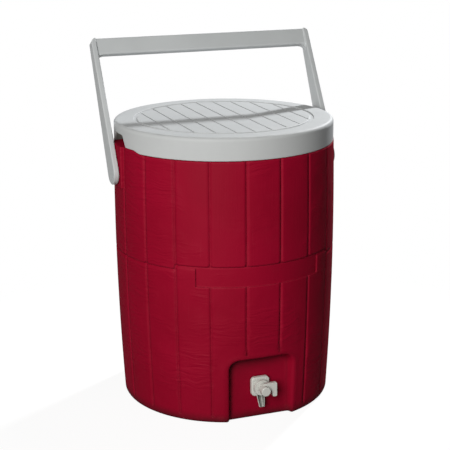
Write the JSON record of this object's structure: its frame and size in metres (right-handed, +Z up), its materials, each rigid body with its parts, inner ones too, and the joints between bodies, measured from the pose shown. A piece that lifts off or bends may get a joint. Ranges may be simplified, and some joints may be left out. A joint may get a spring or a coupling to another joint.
{
  "type": "insulated drinks cooler",
  "caption": "Round barrel-shaped insulated drinks cooler with grooved stave sides, a lift-off lid, a swinging bail handle and a lever tap in a front pocket.",
  "frame": {"origin": "middle of the flat base, on the floor", "axes": "+Z up; the tap and its pocket face -Y; the handle's pivots lie along X"},
  "size_m": [0.3152, 0.3036, 0.4837],
  "materials": {
    "red_plastic": "satin",
    "pale_plastic": "satin",
    "liner_plastic": "satin",
    "tap_plastic": "satin",
    "seal_rubber": "matte",
    "foam": "matte"
  },
  "bodies": {
    "cooler_body": {"outer_shell": "red_plastic", "body_foam": "foam", "inner_liner": "liner_plastic", "foam_plug": "red_plastic", "tap_body": "tap_plastic", "tap_outer_washer": "seal_rubber", "tap_inner_washer": "seal_rubber", "tap_nut": "tap_plastic"},
    "lid": {"lid_top": "pale_plastic", "lid_foam": "foam", "lid_liner": "liner_plastic", "lid_seal": "seal_rubber"},
    "bail": {"handle": "pale_plastic"},
    "tap_core": {"tap_plug": "tap_plastic", "tap_lever": "tap_plastic", "tap_orings": "seal_rubber"}
  },
  "joints": [
    {"name": "handle_swing", "type": "hinge", "parent": "cooler_body", "child": "bail", "pos_m": [0, 0, 0.318], "axis": [-1, 0, 0], "range_deg": [-134, 77]},
    {"name": "lid_lift", "type": "slide", "parent": "cooler_body", "child": "lid", "axis": [0, 0, 1], "range_m": [0, 0.06]},
    {"name": "tap_turn", "type": "hinge", "parent": "cooler_body", "child": "tap_core", "pos_m": [0, -0.14, 0.0455], "axis": [0, -1, 0], "range_deg": [0, 90]}
  ]
}
